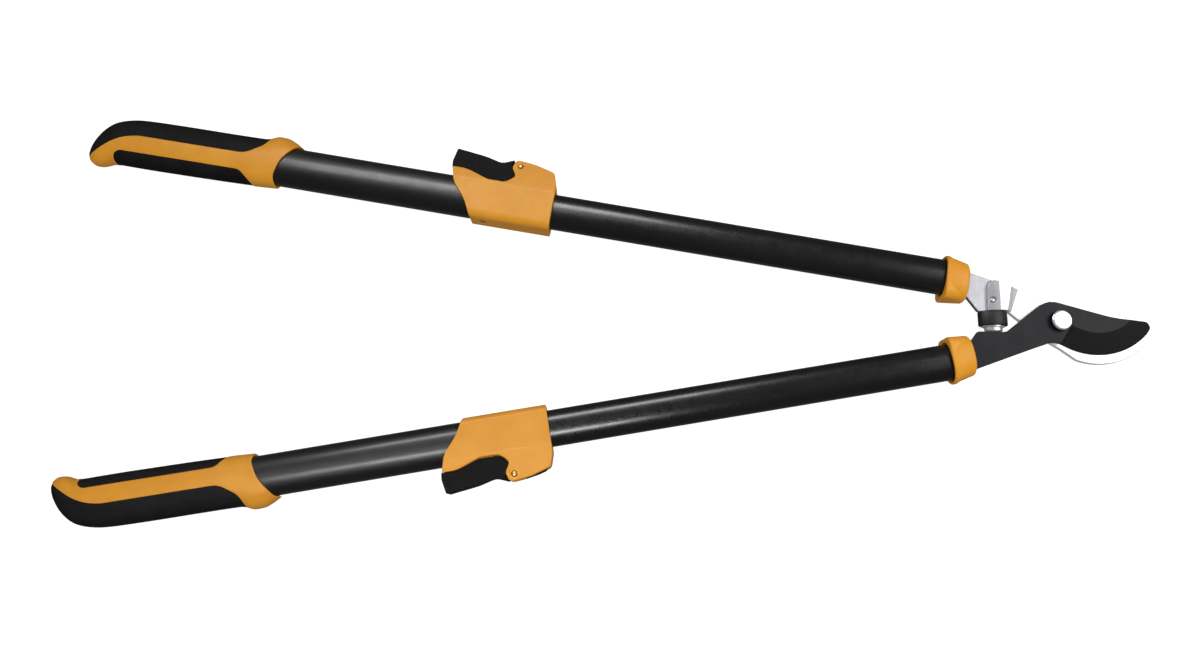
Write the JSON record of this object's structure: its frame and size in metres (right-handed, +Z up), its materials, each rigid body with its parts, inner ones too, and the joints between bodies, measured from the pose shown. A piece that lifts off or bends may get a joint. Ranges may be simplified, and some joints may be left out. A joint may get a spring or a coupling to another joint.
{
  "type": "bypass loppers",
  "caption": "Long-handled bypass pruning loppers with telescopic oval tube handles, flip-lever clamps, two-tone grips, a curved cutting blade over a hooked counter-blade, and a rubber bumper.",
  "frame": {"origin": "centre of the footprint, on the surface the tool lies on", "axes": "+X along the tool from the grips towards the blade, +Y towards the hook-side handle, +Z up out of the flat of the tool"},
  "size_m": [1.0141, 0.3908, 0.034],
  "materials": {
    "yellow_plastic": "satin moulded amber yellow",
    "tube_paint": "glossy black powder coat",
    "soft_grip": "matt soft overmould",
    "black_plastic": "fine grained black nylon",
    "inner_plastic": "plain moulded",
    "coated_blade": "charcoal non-stick coating, satin",
    "satin_steel": "bright satin",
    "polished_steel": "polished",
    "zinc": "zinc plated",
    "bumper_rubber": "moulded black rubber"
  },
  "bodies": {
    "blade_arm": {"blade_plate": "coated_blade", "pivot_bolt": "polished_steel", "pivot_washer": "zinc", "pivot_nut": "zinc", "blade_inner_tube": "tube_paint", "blade_tube_plug": "inner_plastic", "blade_head_collar": "yellow_plastic", "blade_guide_bush": "inner_plastic", "blade_tang_rivet": "zinc"},
    "hook_arm": {"hook_plate": "satin_steel", "pivot_bush": "zinc", "bumper_sleeve": "bumper_rubber", "bumper_stud": "polished_steel", "bumper_pin": "zinc", "hook_inner_tube": "tube_paint", "hook_tube_plug": "inner_plastic", "hook_head_collar": "yellow_plastic", "hook_guide_bush": "inner_plastic", "hook_tang_rivet": "zinc"},
    "blade_outer_handle": {"blade_outer_tube": "tube_paint", "blade_clamp_sleeve": "yellow_plastic", "blade_clamp_shoe": "black_plastic", "blade_clamp_pin": "polished_steel", "blade_clamp_rivet": "zinc", "blade_grip_core": "yellow_plastic", "blade_grip_pad_outer": "soft_grip", "blade_grip_pad_inner": "soft_grip"},
    "blade_lever": {"blade_clamp_lever": "black_plastic"},
    "hook_outer_handle": {"hook_outer_tube": "tube_paint", "hook_clamp_sleeve": "yellow_plastic", "hook_clamp_shoe": "black_plastic", "hook_clamp_pin": "polished_steel", "hook_clamp_rivet": "zinc", "hook_grip_core": "yellow_plastic", "hook_grip_pad_outer": "soft_grip", "hook_grip_pad_inner": "soft_grip"},
    "hook_lever": {"hook_clamp_lever": "black_plastic"}
  },
  "joints": [
    {"name": "head_pivot", "type": "hinge", "parent": "blade_arm", "child": "hook_arm", "pos_m": [0.421, -0.002, 0.017], "axis": [0, 0, -1], "range_deg": [0, 55]},
    {"name": "blade_telescope", "type": "slide", "parent": "blade_arm", "child": "blade_outer_handle", "axis": [0.9857, 0.1685, 0], "range_m": [0, 0.28]},
    {"name": "blade_lever_hinge", "type": "hinge", "parent": "blade_outer_handle", "child": "blade_lever", "pos_m": [-0.08662, -0.14622, 0.017], "axis": [0, 0, 1], "range_deg": [0, 90]},
    {"name": "hook_telescope", "type": "slide", "parent": "hook_arm", "child": "hook_outer_handle", "axis": [0.9857, -0.1685, 0], "range_m": [0, 0.28]},
    {"name": "hook_lever_hinge", "type": "hinge", "parent": "hook_outer_handle", "child": "hook_lever", "pos_m": [-0.08662, 0.14622, 0.017], "axis": [0, 0, -1], "range_deg": [0, 90]}
  ]
}
